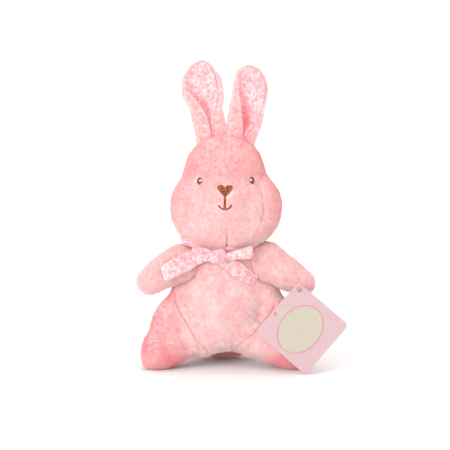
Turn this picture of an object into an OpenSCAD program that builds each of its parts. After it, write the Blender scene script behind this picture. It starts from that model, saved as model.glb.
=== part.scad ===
// A stuffed bunny rabbit that sits with its legs spread, a ribbon bow round its neck and a card
// hang tag on one hand. Millimetres.
// The origin is the middle of the flat seat, which is under the bunny's back. The bunny looks along
// -Y and +Z is up. It rests on the seat and both feet, and its underside rises between them.
// Left and right are the bunny's own, so its left side is at +X.

/* [Covers] */
// Thickness of the plush cover, its pile pressed flat
cover_t = 2.4; // [2:0.1:2.6]
// Free space between a cover and the filling inside it
filling_gap = 0.8; // [0.7:0.05:0.9]
// Sides of each stuffed part's oval sections
oval_sides = 24; // [24:24:48]

/* [Neck] */
// Radius of the ball of filling that the head turns on
ball_r = 17; // [16:0.1:17.1]
// Height of the ball's middle above the seat
ball_z = 100; // [99.8:0.1:100.2]

/* [Ears] */
// Height of the left ear above its seam
ear_l = 55; // [45:1:58]
// Width of the left ear at its widest
ear_w = 29; // [24:1:30]
// Size of the right ear against the left one
right_ear_ratio = 1.06; // [1:0.01:1.1]

/* [Ribbon] */
// Width of the ribbon where it lies flat
ribbon_w = 13; // [9:0.5:14]
// Thickness of the ribbon
ribbon_t = 0.8; // [0.4:0.1:0.9]

/* [Hang tag] */
// Side of the square card
tag_side = 51; // [40:1:54]
// Thickness of the card
tag_t = 0.7; // [0.4:0.1:0.8]
// Lean of the card's foot away from the leg behind it, in degrees
tag_lean = 15; // [13:1:17]

/* [Hidden] */

PLUSH = "#F9B8BA";
LINING = "#FBD9DB";
THREAD = "#A4541F";
STUFFING = "#FFFFFF";

step = 360 / oval_sides;
inset = cover_t + filling_gap;
hollow_r = ball_r + 0.7;

// The neck's axis stands this far in front of the seat's middle. Places below are taken from it
NECK = [0, -20, 0];
ball_at = [0, 0, ball_z] + NECK;

// Sections of the head from the neck opening up: half width, half depth, height, y of the middle
HEAD = [
    [20.5, 20.5, 104.2, 0], [27, 25, 103.2, -0.5], [34, 31, 106, -1], [39.5, 35.5, 111.5, -1.5],
    [42.5, 38.5, 119, -2], [43, 39.5, 128, -2], [40.5, 38.5, 138, -2], [35.5, 36, 148, -1.5],
    [32, 33.5, 157, -0.5], [29.5, 31, 165, 0], [26, 27, 172, 0.5], [20, 21, 178.2, 1],
    [10, 11, 181.8, 1.5], [1, 1, 182.6, 1.5],
];
HEAD_MID = 143;
HEAD_HALF = 40;

// Sections of the body from the seat up, in the same form
SEAT = [24, 10, cover_t, 20];
BODY = [
    SEAT, [31, 19, 6, 14], [37.5, 27, 13, 6.2], [42.5, 31.2, 22, 2.5], [44, 32, 32, 1.5],
    [44, 31.5, 42, 1], [41.5, 31, 52, 0.5], [36.5, 30, 62, 0], [31.7, 28.2, 72, 0],
    [27.5, 26, 82, 0], [24.3, 24.2, 90, 0], [23.4, 23.4, 95.5, 0], [20.5, 20.5, 98, 0],
];
BODY_MID = 50;
BODY_HALF = 48;

// Seams of the head and body, as angles round +Z from +X; the front is at 270
FRONT = 270;
CHEEK_SEAM = 45;
BACK_SEAM = 30;
BELLY_SEAM_TOP = 75;
BELLY_SEAM_FOOT = 8;
BELLY_TOP_Z = 54;

BAG_TOP = 13.5;
BAG = [[18, 7, 5.8, 17.5], [23, 11.8, 8, 14.6], [26.5, 16.5, 11, 10.8], [25.5, 17.5, BAG_TOP, 8]];

// Sections of a limb: distance out from its hinge, offset along the hinge, tilt, half width,
// half thickness, offset to the front
ARM = [
    [1.8, 0, 0, 9.5, 1.5, 0], [3.4, 0, 0, 12.5, 6, 0], [7, -1, 4, 14.6, 9.8, 0.5],
    [12.5, -4.5, 14, 15, 12, 2], [18.5, -10.5, 26, 12.8, 12, 5], [24.2, -17.2, 36, 10.6, 10.8, 8],
    [28.8, -22.6, 42, 7.4, 8, 9.5], [31.4, -25.6, 44, 2.4, 2.6, 10],
];
LEG = [
    [2.2, 0, 0, 16, 3, 0], [4.5, 0, 0, 20, 8.5, 0], [9, -1, 0, 22.6, 12.2, 0], [15, -4, 4, 22, 13.2, 0],
    [20.5, -8, 12, 19, 13.2, 0], [25.5, -12.5, 24, 14.8, 12.2, 0.2], [29.4, -16, 34, 10.3, 9.3, 0.4],
    [31.6, -18.2, 38, 4, 3.6, 0.5],
];
// The same for an ear, as shares of its height, and of its half width
EAR = [
    [0.024, 0, 0.55, 1.5], [0.06, 0, 0.64, 4.2], [0.15, 0, 0.72, 5.4], [0.3, 0.009, 0.83, 5.6],
    [0.47, 0.03, 0.95, 5.4], [0.65, 0.05, 1, 5], [0.81, 0.06, 0.89, 4.6], [0.92, 0.07, 0.66, 3.8],
    [0.985, 0.075, 0.32, 2.2], [1, 0.076, 0.09, 0.8],
];
LINING_SHARE = 0.66;
LINING_T = 1.4;

// Hinges of the left limbs: a point on the axis, the axis pointing up, and the way out
SHOULDER_AT = NECK + [30.1, -3, 80];
SHOULDER_UP = unit([-0.39, 0, 0.92]);
SHOULDER_OUT = across([0.92, 0, 0.39], SHOULDER_UP);
HIP_AT = NECK + [38.6, -16.6, 30];
HIP_UP = unit([0.24, 0.09, 0.966]);
HIP_OUT = across([0.96, -0.2, -0.2], HIP_UP);
EAR_AT = NECK + [12, 4, 183.1];
EAR_UP = unit([-0.98, 0, 0.2]);
EAR_OUT = across([0, 0, 1], EAR_UP);
SHOULDER_SEAM = [22, 1.3];
HIP_SEAM = [26, 1.6];
EAR_SEAM = [15, 0.8];

BAND_R = 24.6;
BAND_Z = 91.5;
BAND_H = 6.5;
KNOT_AT = NECK + [-6, -31.2, 90];
KNOT = [7.3, 5, 5.8];
LOOP_LEFT_AT = NECK + [11.9, -30.2, 92];
LOOP_LEFT = [9.9, 3, 5.3];
LOOP_RIGHT_AT = NECK + [-18.2, -29.4, 91];
LOOP_RIGHT = [4.3, 2.2, 4.6];
TAIL_LEFT_ROUTE = [[-1.6, -34.8, 84], [9, -34.4, 79], [22, -32.6, 68.4]];
TAIL_RIGHT_ROUTE = [[-14.6, -33.4, 88.3], [-31, -32.4, 83.6], [-49.5, -30.2, 75.2]];
TAIL_LEFT_SHARE = 0.78;

TAG_HOLE_AT = NECK + [57.2, -32, 63.5];
TAG_HOLE_R = 2;
TAG_HOLE_INSET = 4.3;
TAG_CORNER_R = 3.5;
TAG_TURN = 4;
LOOP_R = 3.8;
LOOP_FRONT = 1.5;
LOOP_BACK = 8;
LOOP_STEPS = 10;
LOOP_WIRE_R = 0.5;

FLUFF_R = 11;
FLUFF_AT = NECK + [0, 44.9, 24];

function unit(v) = v / norm(v);
function across(v, up) = unit(v - up * (v * up));

// A smooth run of n steps through a list of keys
function curve_at(a, b, c, d, t) =
    (2 * b + (c - a) * t + (2 * a - 5 * b + 4 * c - d) * t * t + (3 * b - a - 3 * c + d) * t * t * t) / 2;
function smooth(keys, n) = [
    for (i = [0:n])
        let (u = i / n * (len(keys) - 1), k = min(floor(u), len(keys) - 2))
            curve_at(keys[max(k - 1, 0)], keys[k], keys[k + 1], keys[min(k + 2, len(keys) - 1)], u - k)
];

// The angles from a to b in equal steps, and all round
function span(a, b, n) = [for (i = [0:n]) a + (b - a) * i / n];
ROUND = [for (i = [0:oval_sides - 1]) i * step];

// One level oval section, shrunk by d all round and towards the height mid
function oval(key, angles, d, mid, half) = [
    for (a = angles)
        NECK + [(key[0] - d) * cos(a), key[3] + (key[1] - d) * sin(a), mid + (key[2] - mid) * (1 - d / half)]
];
function head_rings(angles, d) = [for (k = HEAD) oval(k, angles, min(d, k[0] / 2), HEAD_MID, HEAD_HALF)];

// Half the belly panel's angle at a height
function belly_half(z) =
    BELLY_SEAM_FOOT + (BELLY_SEAM_TOP - BELLY_SEAM_FOOT) * pow(min(z / BELLY_TOP_Z, 1), 1.2);
function body_rings(from, to, n, d) = [
    for (k = BODY)
        oval(k, span(seam_angle(from, k[2]), seam_angle(to, k[2]), n), d, BODY_MID, BODY_HALF)
];
function seam_angle(seam, z) =
    seam == "belly right" ? FRONT - belly_half(z)
    : seam == "belly left" ? FRONT + belly_half(z)
    : seam == "back right" ? 180 - BACK_SEAM
    : seam == "back left" ? 360 + BACK_SEAM
    : BACK_SEAM;

// A limb's section as points; up is the hinge axis and out the way the limb points
function limb_ring(key, at, up, out, angles, d, mid, half, least) =
    let (
        front = cross(out, up),
        wide = up * cos(key[2]) + out * sin(key[2]),
        middle = at + out * key[0] + up * key[1] + front * key[5],
        centre = mid + (middle - mid) * (1 - d / half)
    )
    [
        for (a = angles)
            centre + wide * max(key[3] - d, least) * cos(a) + front * max(key[4] - d, least) * sin(a)
    ];
function limb_mid(keys, at, up, out) =
    let (k = keys[3]) at + out * k[0] + up * k[1] + cross(out, up) * k[5];

LIMB_HALF = 19;
LIMB_SIDES = 16;
LEAST_COVER = 1;
LEAST_FILLING = 0.5;
function limb_rings(keys, at, up, out, angles, d, least) = [
    for (k = keys) limb_ring(k, at, up, out, angles, d, limb_mid(keys, at, up, out), LIMB_HALF, least)
];

// The two triangles of a four-sided face
function halves(a, b, c, d) = [[a, b, c], [a, c, d]];

// A closed solid through rings of points, each ring going round the same way
module pod(rings) {
    n = len(rings[0]);
    last = len(rings) - 1;
    sides = [
        for (r = [0:last - 1], c = [0:n - 1])
            let (e = (c + 1) % n)
                each halves(r * n + c, (r + 1) * n + c, (r + 1) * n + e, r * n + e)
    ];
    foot = [for (c = [0:n - 1]) c];
    top = [for (c = [0:n - 1]) last * n + n - 1 - c];
    polyhedron([for (r = rings) each r], concat(sides, [foot, top]));
}

// A sewn panel: a patch of cloth between an outer and an inner grid of points
module panel(outer, inner) {
    m = len(outer);
    n = len(outer[0]);
    back = m * n;
    skins = [
        for (r = [0:m - 2], c = [0:n - 2])
            let (a = r * n + c, b = a + n)
                each concat(halves(a, b, b + 1, a + 1), halves(back + a, back + a + 1, back + b + 1, back + b))
    ];
    ends = [
        for (c = [0:n - 2])
            let (a = c, b = (m - 1) * n + c)
                each concat(halves(a, a + 1, back + a + 1, back + a), halves(b + 1, b, back + b, back + b + 1))
    ];
    edges = [
        for (r = [0:m - 2])
            let (a = r * n, b = a + n - 1)
                each concat(halves(a + n, a, back + a, back + a + n), halves(b + n, back + b + n, back + b, b))
    ];
    polyhedron(
        concat([for (r = outer) each r], [for (r = inner) each r]),
        concat(skins, ends, edges)
    );
}

// A rod of length l and radius r with its middle at a point, along a direction
module rod(at, along, l, r) {
    translate(at)
        rotate([0, acos(along.z), atan2(along.y, along.x)])
            cylinder(h = l, r = r, center = true, $fn = 48);
}

// Its child as it is on the left side, or mirrored to the right
module on_side(side) {
    mirror([side == "right" ? 1 : 0, 0, 0]) children();
}

// Head: five panels that meet at the front, cheek and back seams, over one filling
module head_panel(from, to) {
    angles = span(from, to, round(abs(to - from) / step));
    color(PLUSH) panel(head_rings(angles, 0), head_rings(angles, cover_t));
}
module face_panel_left() {
    head_panel(FRONT, FRONT + CHEEK_SEAM);
}
module face_panel_right() {
    head_panel(FRONT - CHEEK_SEAM, FRONT);
}
module cheek_panel_left() {
    head_panel(FRONT + CHEEK_SEAM, 360 + BACK_SEAM);
}
module cheek_panel_right() {
    head_panel(180 - BACK_SEAM, FRONT - CHEEK_SEAM);
}
module head_back_panel() {
    head_panel(BACK_SEAM, 180 - BACK_SEAM);
}

// Rings of the round hollow that holds the ball, from polar angle a to b
HOLLOW_STEPS = 5;
function hollow_ring(a) = [
    for (t = ROUND) ball_at + hollow_r * [sin(a) * cos(t), sin(a) * sin(t), cos(a)]
];
module head_filling() {
    hollow = [for (i = [0:HOLLOW_STEPS]) hollow_ring(4 + (65 - 4) * i / HOLLOW_STEPS)];
    color(STUFFING) pod(concat(hollow, head_rings(ROUND, inset)));
}
module neck_ball() {
    color(STUFFING) translate(ball_at) sphere(r = ball_r, $fn = 64);
}

// Body: belly, sides, back and seat round a filling with a bag of beans under it
module body_panel(from, to, n) {
    color(PLUSH) panel(body_rings(from, to, n, 0), body_rings(from, to, n, cover_t));
}
module belly_panel() {
    body_panel("belly right", "belly left", 10);
}
module side_panel_left() {
    body_panel("belly left", "back left", 6);
}
module side_panel_right() {
    body_panel("back right", "belly right", 6);
}
module back_panel() {
    body_panel("back", "back right", 8);
}
module seat_panel() {
    color(PLUSH)
        linear_extrude(cover_t)
            polygon([for (a = ROUND) [SEAT[0] * cos(a), NECK.y + SEAT[3] + SEAT[1] * sin(a)]]);
}
module body_filling() {
    stuffed = [
        for (k = BODY)
            let (ring = oval(k, ROUND, inset, BODY_MID, BODY_HALF))
                if (ring[0].z > BAG_TOP + 0.5) ring
    ];
    hollow = [for (i = [0:HOLLOW_STEPS]) hollow_ring(110 + (176 - 110) * i / HOLLOW_STEPS)];
    color(STUFFING) pod(concat(stuffed, hollow));
}
module bean_bag() {
    color("#E8E2D2") pod([for (k = smooth(BAG, 6)) oval(k, ROUND, 0, BODY_MID, BODY_HALF)]);
}
module fluffy_tail() {
    color(PLUSH) translate(FLUFF_AT) sphere(r = FLUFF_R, $fn = 64);
}

// Arms and legs: a front and a back panel sewn round the edge, over a filling
module limb_panel(side, keys, at, up, out, from) {
    angles = span(from, from + 180, LIMB_SIDES / 2);
    color(PLUSH)
        on_side(side)
            panel(
                limb_rings(keys, at, up, out, angles, 0, LEAST_COVER),
                limb_rings(keys, at, up, out, angles, cover_t, LEAST_COVER)
            );
}
module limb_filling(side, keys, at, up, out) {
    angles = [for (i = [0:LIMB_SIDES - 1]) i * 360 / LIMB_SIDES];
    inner = limb_rings(keys, at, up, out, angles, inset, LEAST_FILLING);
    color(STUFFING) on_side(side) pod([for (i = [1:len(inner) - 2]) inner[i]]);
}
module limb_seam(side, at, up, size) {
    color(PLUSH) on_side(side) rod(at, up, size[0], size[1]);
}

// Ears: a plush back with a flat front, and the printed lining on it
function ear_keys(ratio, share, t) = [
    for (k = EAR)
        [k[0] * ear_l * ratio, k[1] * ear_l * ratio, 0, k[2] * ear_w / 2 * ratio * share, min(k[3], t), 0]
];
EAR_SIDES = 10;
module ear(side, keys, from) {
    on_side(side)
        pod([
            for (k = keys)
                limb_ring(k, EAR_AT, EAR_UP, EAR_OUT, span(from, from + 180, EAR_SIDES), 0, EAR_AT, 1, 0.1)
        ]);
}
module ear_plush(side, ratio) {
    color(PLUSH) ear(side, ear_keys(ratio, 1, 9), 180);
}
module ear_lining(side, ratio) {
    keys = ear_keys(ratio, LINING_SHARE, LINING_T);
    color(LINING) ear(side, [for (i = [1:len(keys) - 3]) keys[i]], 0);
}

// Where the face's cover is at a height, and which way it faces, at an angle from the front
function head_key(z) =
    let (k = [for (i = [1:len(HEAD) - 2]) if (HEAD[i][2] <= z && HEAD[i + 1][2] > z) i][0],
         t = (z - HEAD[k][2]) / (HEAD[k + 1][2] - HEAD[k][2]))
    HEAD[k] + (HEAD[k + 1] - HEAD[k]) * t;
FACE_CLEAR = 0.4;
module on_face(turn, z) {
    key = head_key(z);
    low = head_key(z - 4);
    high = head_key(z + 4);
    at = NECK + [key[0] * sin(turn), key[3] - key[1] * cos(turn), z];
    facing = atan2(sin(turn) / key[0], cos(turn) / key[1]);
    lean = atan2((high[1] - high[3]) - (low[1] - low[3]), 8);
    translate(at)
        rotate([0, 0, facing])
            rotate([90 + lean, 0, 0])
                translate([0, 0, FACE_CLEAR])
                    children();
}

EYE_TURN = 37;
EYE_Z = 148;
EYE = [4.4, 5.6];
EYE_T = 0.8;
module eye(side) {
    color(THREAD) on_side(side) on_face(EYE_TURN, EYE_Z) linear_extrude(EYE_T) oval_outline(EYE);
}
module eye_glint(side) {
    color("white")
        on_side(side)
            on_face(EYE_TURN, EYE_Z)
                translate([-0.9, 1.1, EYE_T])
                    cylinder(h = 0.3, r = 0.6, $fn = 24);
}
module oval_outline(size) {
    polygon([for (a = [0:15:345]) [size.x / 2 * cos(a), size.y / 2 * sin(a)]]);
}

// Heart-shaped nose
NOSE_Z = 141;
NOSE = [11.3, 7.9];
module nose() {
    lobe = NOSE.x / 4;
    color(THREAD)
        on_face(0, NOSE_Z)
            linear_extrude(1)
                union() {
                    polygon([
                        [-NOSE.x / 2, NOSE.y / 2 - lobe], [0, -NOSE.y / 2], [NOSE.x / 2, NOSE.y / 2 - lobe],
                        [lobe, NOSE.y / 2 - lobe + 1], [0, NOSE.y / 2 - lobe + 1.4], [-lobe, NOSE.y / 2 - lobe + 1],
                    ]);
                    for (x = [-lobe, lobe]) {
                        translate([x, NOSE.y / 2 - lobe]) circle(r = lobe, $fn = 24);
                    }
                }
}

// Mouth: a stem down from the nose to a shallow curve
MOUTH_Z = 130.5;
MOUTH_W = 10.3;
STEM_W = 1.6;
STEM_L = 11;
MOUTH_R = 6.5;
module mouth() {
    half = asin(MOUTH_W / 2 / MOUTH_R);
    color(THREAD)
        on_face(0, MOUTH_Z)
            linear_extrude(0.9)
                union() {
                    translate([-STEM_W / 2, -STEM_L / 2 + 0.5]) square([STEM_W, STEM_L]);
                    translate([0, -STEM_L / 2 + MOUTH_R])
                        polygon(concat(
                            [for (a = span(-half, half, 8)) (MOUTH_R + 0.7) * [sin(a), -cos(a)]],
                            [for (a = span(half, -half, 8)) (MOUTH_R - 0.7) * [sin(a), -cos(a)]]
                        ));
                }
}

// Ribbon: a band round the neck, and a bow of a knot, two loops and two tails in front of it
module ribbon_neckband() {
    color(LINING)
        translate(NECK + [0, 0, BAND_Z])
            rotate_extrude($fn = 96)
                translate([BAND_R, 0])
                    square([ribbon_t, BAND_H]);
}
module pillow(at, half) {
    color(LINING)
        pod([
            for (lat = [-80:20:80])
                [for (a = [0:24:336]) at + [half.x * cos(lat) * cos(a), half.y * cos(lat) * sin(a), half.z * sin(lat)]]
        ]);
}
module ribbon_tail(route, width) {
    n = 6;
    line = [for (p = smooth(route, n)) p + NECK];
    color(LINING)
        pod([
            for (i = [0:n])
                let (
                    run = unit(line[min(i + 1, n)] - line[max(i - 1, 0)]),
                    wide = unit(cross(run, [0, 1, 0])) * width / 2,
                    thick = unit(cross(wide, run)) * ribbon_t / 2
                )
                [line[i] + wide + thick, line[i] + wide - thick, line[i] - wide - thick, line[i] - wide + thick]
        ]);
}

// Card hang tag and the wire loop that holds it to the left hand
module tag_fastener() {
    turns = [for (i = [0:LOOP_STEPS]) 90 + 180 * i / LOOP_STEPS];
    front = [for (a = turns) [0, LOOP_R * cos(a) - LOOP_FRONT, LOOP_R * sin(a)]];
    back = [for (a = turns) [0, LOOP_BACK - LOOP_R * cos(a), -LOOP_R * sin(a)]];
    path = concat(front, back, [front[0]]);
    color("white")
        translate(TAG_HOLE_AT + [0, 0, LOOP_R])
            for (i = [0:len(path) - 2]) {
                hull() {
                    translate(path[i]) sphere(r = LOOP_WIRE_R, $fn = 16);
                    translate(path[i + 1]) sphere(r = LOOP_WIRE_R, $fn = 16);
                }
            }
}
module hang_tag() {
    core = tag_side - 2 * TAG_CORNER_R;
    color("#E9C3CB")
        translate(TAG_HOLE_AT)
            rotate([90 - tag_lean, 0, 0])
                rotate([0, 0, TAG_TURN - 135])
                    translate([-TAG_HOLE_INSET, -TAG_HOLE_INSET, -tag_t / 2])
                        linear_extrude(tag_t)
                            difference() {
                                offset_square(core);
                                translate([TAG_HOLE_INSET, TAG_HOLE_INSET]) circle(r = TAG_HOLE_R, $fn = 32);
                            }
}
// The card's outline with its corner at the origin: a square with round corners
module offset_square(core) {
    translate([TAG_CORNER_R, TAG_CORNER_R])
        union() {
            for (x = [0, core], y = [0, core]) {
                translate([x, y]) circle(r = TAG_CORNER_R, $fn = 32);
            }
            translate([-TAG_CORNER_R, 0]) square([core + 2 * TAG_CORNER_R, core]);
            translate([0, -TAG_CORNER_R]) square([core, core + 2 * TAG_CORNER_R]);
        }
}

face_panel_left();
face_panel_right();
cheek_panel_left();
cheek_panel_right();
head_back_panel();
head_filling();
neck_ball();
belly_panel();
side_panel_left();
side_panel_right();
back_panel();
seat_panel();
body_filling();
bean_bag();
fluffy_tail();
limb_panel("left", ARM, SHOULDER_AT, SHOULDER_UP, SHOULDER_OUT, 0);  // arm_front_left
limb_panel("left", ARM, SHOULDER_AT, SHOULDER_UP, SHOULDER_OUT, 180);  // arm_back_left
limb_filling("left", ARM, SHOULDER_AT, SHOULDER_UP, SHOULDER_OUT);  // arm_filling_left
limb_seam("left", SHOULDER_AT, SHOULDER_UP, SHOULDER_SEAM);  // shoulder_seam_left
limb_panel("right", ARM, SHOULDER_AT, SHOULDER_UP, SHOULDER_OUT, 0);  // arm_front_right
limb_panel("right", ARM, SHOULDER_AT, SHOULDER_UP, SHOULDER_OUT, 180);  // arm_back_right
limb_filling("right", ARM, SHOULDER_AT, SHOULDER_UP, SHOULDER_OUT);  // arm_filling_right
limb_seam("right", SHOULDER_AT, SHOULDER_UP, SHOULDER_SEAM);  // shoulder_seam_right
limb_panel("left", LEG, HIP_AT, HIP_UP, HIP_OUT, 0);  // leg_front_left
limb_panel("left", LEG, HIP_AT, HIP_UP, HIP_OUT, 180);  // leg_back_left
limb_filling("left", LEG, HIP_AT, HIP_UP, HIP_OUT);  // leg_filling_left
limb_seam("left", HIP_AT, HIP_UP, HIP_SEAM);  // hip_seam_left
limb_panel("right", LEG, HIP_AT, HIP_UP, HIP_OUT, 0);  // leg_front_right
limb_panel("right", LEG, HIP_AT, HIP_UP, HIP_OUT, 180);  // leg_back_right
limb_filling("right", LEG, HIP_AT, HIP_UP, HIP_OUT);  // leg_filling_right
limb_seam("right", HIP_AT, HIP_UP, HIP_SEAM);  // hip_seam_right
ear_plush("left", 1);  // ear_plush_left
ear_lining("left", 1);  // ear_lining_left
limb_seam("left", EAR_AT, EAR_UP, EAR_SEAM);  // ear_seam_left
ear_plush("right", right_ear_ratio);  // ear_plush_right
ear_lining("right", right_ear_ratio);  // ear_lining_right
limb_seam("right", EAR_AT, EAR_UP, EAR_SEAM);  // ear_seam_right
eye("left");  // eye_left
eye("right");  // eye_right
eye_glint("left");  // eye_glint_left
eye_glint("right");  // eye_glint_right
nose();
mouth();
ribbon_neckband();
pillow(KNOT_AT, KNOT);  // ribbon_knot
pillow(LOOP_LEFT_AT, LOOP_LEFT);  // ribbon_loop_left
pillow(LOOP_RIGHT_AT, LOOP_RIGHT);  // ribbon_loop_right
ribbon_tail(TAIL_LEFT_ROUTE, ribbon_w * TAIL_LEFT_SHARE);  // ribbon_tail_left
ribbon_tail(TAIL_RIGHT_ROUTE, ribbon_w);  // ribbon_tail_right
tag_fastener();
hang_tag();
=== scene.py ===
import math

import bpy
import numpy as np
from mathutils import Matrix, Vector


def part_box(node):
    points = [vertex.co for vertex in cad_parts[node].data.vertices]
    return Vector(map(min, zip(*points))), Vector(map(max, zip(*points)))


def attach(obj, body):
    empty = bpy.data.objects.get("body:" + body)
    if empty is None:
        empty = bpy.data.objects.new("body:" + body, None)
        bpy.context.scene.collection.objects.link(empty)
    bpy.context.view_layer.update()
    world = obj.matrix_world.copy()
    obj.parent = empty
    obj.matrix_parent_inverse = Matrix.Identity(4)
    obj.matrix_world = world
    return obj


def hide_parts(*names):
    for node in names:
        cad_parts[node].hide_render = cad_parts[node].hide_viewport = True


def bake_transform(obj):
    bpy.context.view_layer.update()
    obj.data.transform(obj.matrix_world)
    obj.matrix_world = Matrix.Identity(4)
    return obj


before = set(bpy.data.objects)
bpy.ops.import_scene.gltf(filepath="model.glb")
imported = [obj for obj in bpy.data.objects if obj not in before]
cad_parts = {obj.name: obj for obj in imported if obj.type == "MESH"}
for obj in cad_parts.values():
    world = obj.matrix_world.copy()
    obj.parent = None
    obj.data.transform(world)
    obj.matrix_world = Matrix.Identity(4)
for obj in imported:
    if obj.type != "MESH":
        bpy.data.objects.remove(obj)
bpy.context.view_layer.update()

# Shapes are worked out in millimetres from the foot of the neck's axis: +X is the bunny's left,
# -Y its front, +Z up. place() turns them into the frame's metres.
MM = 0.001
ball_low, ball_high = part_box("neck_ball")
AXIS_Y = (ball_low.y + ball_high.y) / 2


def place(points):
    """Points in millimetres from the foot of the neck's axis, as points of the frame."""
    return np.asarray(points, float) * MM + np.array([0, AXIS_Y, 0])


def local(point):
    """A point of the frame, in millimetres from the foot of the neck's axis."""
    return (np.array(point) - np.array([0, AXIS_Y, 0])) / MM


def middle_of(node):
    """The middle of a CAD node's box, in metres."""
    low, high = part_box(node)
    return np.array((low + high) / 2)


# ---- camera

CAMERA_TILT = math.radians(7)
CAMERA_DISTANCE = 1.6
SENSOR = 36
VIEW_HEIGHT = 0.3465
TARGET = place([0, -30, 113.6])


def added(data):
    """A new object of the scene, named as its data."""
    thing = bpy.data.objects.new(data.name, data)
    bpy.context.scene.collection.objects.link(thing)
    return thing


def make_camera():
    data = bpy.data.cameras.new("camera")
    data.sensor_width = SENSOR
    data.lens = SENSOR * CAMERA_DISTANCE / VIEW_HEIGHT
    camera = added(data)
    away = Vector((0, -math.cos(CAMERA_TILT), math.sin(CAMERA_TILT)))
    camera.location = Vector(TARGET) + away * CAMERA_DISTANCE
    camera.rotation_euler = (-away).to_track_quat("-Z", "Y").to_euler()
    bpy.context.scene.camera = camera


make_camera()


# ---- noise and fields

def unit(values):
    """The values, held between 0 and 1."""
    return np.clip(values, 0, 1)


def circle(count):
    """Angles evenly round a circle."""
    return np.linspace(0, 2 * np.pi, count, endpoint=False)


def xyz(x, y, z):
    """Points from their three coordinates, as a grid of the same shape."""
    return np.stack(np.broadcast_arrays(x, y, z), -1)


def lengths(vectors):
    """The length of each row."""
    return np.linalg.norm(vectors, axis=1)


HASH_AXES = np.array([73856093, 19349663, 83492791], np.uint64)
HASH_SEED = 2654435
HASH_ROUNDS = np.array([(15, 2246822519), (13, 3266489917)], np.uint64)
LOW_BITS = np.uint64(0xFFFFFFFF)


def lattice(cell, seed):
    """A fixed number from -1 to 1 for each whole cell."""
    x, y, z = (cell[:, i].astype(np.uint64) * HASH_AXES[i] for i in range(3))
    h = ((x ^ y ^ z) + np.uint64(seed * HASH_SEED)) & LOW_BITS
    for shift, factor in HASH_ROUNDS:
        h = ((h ^ (h >> shift)) * factor) & LOW_BITS
    return (h ^ (h >> np.uint64(16))).astype(float) / float(LOW_BITS) * 2 - 1


NOISE_START = 4096


def noise(points, size, seed):
    """Smooth noise from -1 to 1 whose bumps are about size apart."""
    points = np.asarray(points, float)
    q = points.reshape(-1, 3) / size + NOISE_START
    cell = np.floor(q)
    f = q - cell
    f = f * f * (3 - 2 * f)
    total = np.zeros(len(q))
    for corner in np.ndindex(2, 2, 2):
        c = np.array(corner)
        weight = np.prod(np.where(c == 1, f, 1 - f), axis=1)
        total += weight * lattice(cell + c, seed)
    return total.reshape(points.shape[:-1])


def hump(x, at, width):
    """1 at a place, falling away over a width on both sides."""
    return np.exp(-((x - at) / width) ** 2)


def turned(roll):
    """A rotation that tips the top to +X by roll degrees."""
    a = math.radians(roll)
    return np.array([[math.cos(a), 0, math.sin(a)], [0, 1, 0], [-math.sin(a), 0, math.cos(a)]])


def blob(centre, radii, roll=0):
    """An ellipsoid: its centre, its radii and its turn."""
    return np.array(centre, float), np.array(radii, float), turned(roll)


def mirrored(blobs):
    """The blobs on the other side of x = 0."""
    flip = np.diag([-1.0, 1, 1])
    return [(c * [-1, 1, 1], r, flip @ m @ flip) for c, r, m in blobs]


def stuffing(blobs, softness):
    """The distance field of blobs that run together smoothly."""
    def field(p):
        total = np.zeros(len(p))
        for centre, radii, m in blobs:
            q = (p - centre) @ m
            a = lengths(q / radii)
            b = lengths(q / radii ** 2)
            total += np.exp(-np.clip(a * (a - 1) / np.maximum(b, 1e-9), -90, 400) / softness)
        return -softness * np.log(np.maximum(total, 1e-300))
    return field


def on_floor(field, height, softness=0.7):
    """The field, flattened where it would go below a height."""
    def cut(p):
        a, b = field(p), height - p[:, 2]
        return softness * np.logaddexp(a / softness, b / softness)
    return cut


SLOPE_STEP = 0.2
LEAST_SLOPE = 0.05


def slope(field, p):
    """The field's slope at each point."""
    g = np.stack([field(p + SLOPE_STEP * e) - field(p - SLOPE_STEP * e) for e in np.eye(3)], axis=1)
    return g / (2 * SLOPE_STEP)


def outward(field, p):
    """The way out of the surface at each point."""
    n = slope(field, p)
    return n / lengths(n)[:, None]


def settle(field, p, steps):
    """Moves points onto the field's surface."""
    for _ in range(steps):
        g = slope(field, p)
        p = p - field(p)[:, None] * g / np.maximum((g * g).sum(1), LEAST_SLOPE)[:, None]
    return p


MARCH_START = -75.0
MARCH_END = 40
MARCH_STEPS = 70
MARCH_SHARE = 0.7


def front_of(field, x, z):
    """How far back, from the front, the field's surface is first met at each (x, z)."""
    x, z = np.broadcast_arrays(np.asarray(x, float), np.asarray(z, float))
    p = np.stack([x.ravel(), np.full(x.size, MARCH_START), z.ravel()], axis=1)
    for _ in range(MARCH_STEPS):
        p[:, 1] = np.minimum(p[:, 1] + np.maximum(field(p), 0) * MARCH_SHARE, MARCH_END)
    return p[:, 1].reshape(x.shape)


SKIN_ROUNDS = 3


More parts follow.
